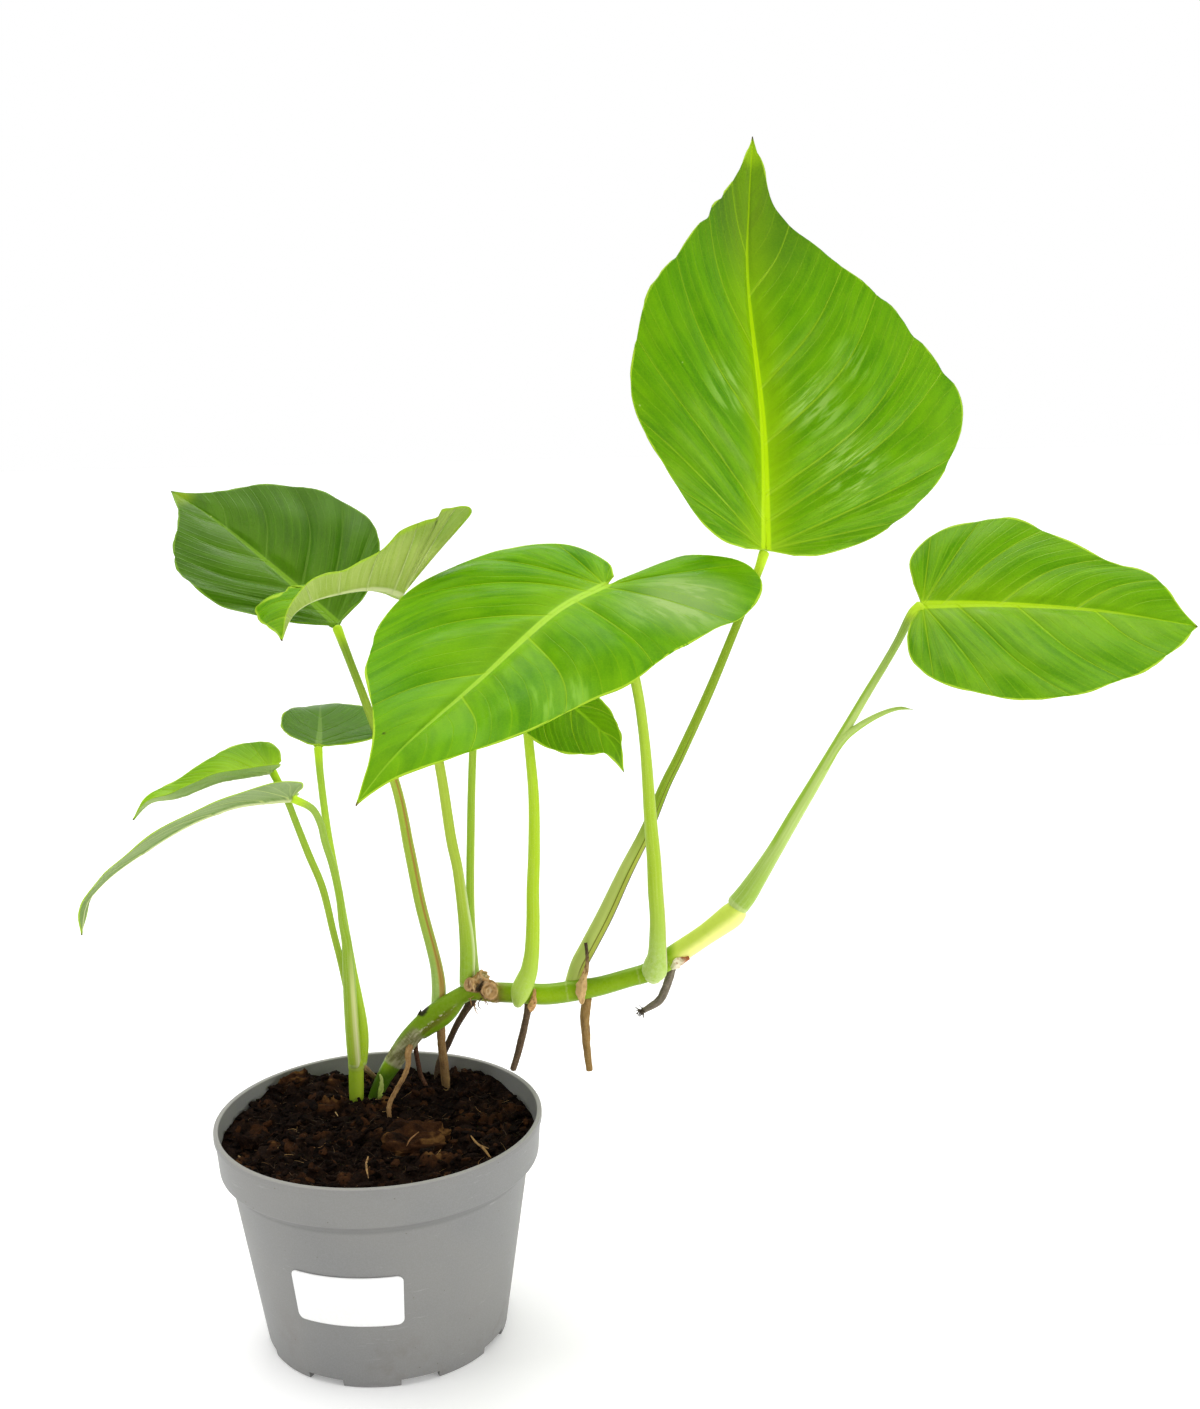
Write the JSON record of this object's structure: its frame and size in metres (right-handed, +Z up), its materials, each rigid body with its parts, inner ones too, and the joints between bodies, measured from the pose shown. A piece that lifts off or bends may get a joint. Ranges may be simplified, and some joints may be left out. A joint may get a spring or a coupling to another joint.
{
  "type": "potted monstera plant",
  "caption": "Potted climbing aroid: heart-shaped leaves on long stalks along a leaning stem with aerial roots, in a tapered round nursery pot filled with bark.",
  "frame": {"origin": "centre of the pot's foot, in the plane it stands on; the flat floor is 3 mm above it", "axes": "+Z up; -Y towards the viewer and the label side; +X towards the leaning tip of the stem"},
  "size_m": [0.5224, 0.2456, 0.5541],
  "materials": {
    "pot": "moulded grey plastic, satin, with a lighter rim edge",
    "label": "bare white paper sticker",
    "soil": "damp dark bark and coir, rough",
    "leaf": "fresh green, satin, with paler midrib and veins and a paler underside",
    "petiole": "pale green, satin, finely striped",
    "stem": "green, satin, with grey-brown corky patches",
    "root": "brown, dry and ridged",
    "papery": "dry, thin and papery"
  },
  "bodies": {
    "root": {"pot": "pot", "pot_label": "label", "soil": "soil", "main_stem": "stem", "side_stem": "stem", "petiole_crown": "petiole", "leaf_crown": "leaf", "petiole_right": "petiole", "leaf_right": "leaf", "petiole_front": "petiole", "leaf_front": "leaf", "petiole_back": "petiole", "leaf_back": "leaf", "petiole_curled": "petiole", "leaf_curled": "leaf", "petiole_tucked": "petiole", "leaf_tucked": "leaf", "petiole_hidden": "petiole", "leaf_hidden": "leaf", "petiole_shoot_right": "petiole", "leaf_shoot_right": "leaf", "petiole_shoot_upper": "petiole", "leaf_shoot_upper": "leaf", "petiole_shoot_lower": "petiole", "leaf_shoot_lower": "leaf", "root_black": "root", "root_over_rim": "root", "root_hanging": "root", "root_frayed": "root", "root_prop": "root", "root_thin_dark": "root", "root_curved_tan": "root", "root_side_shoot": "root", "scale_crown": "papery", "scale_tucked": "papery", "scale_front": "papery", "bud_scale": "papery"}
  },
  "joints": []
}
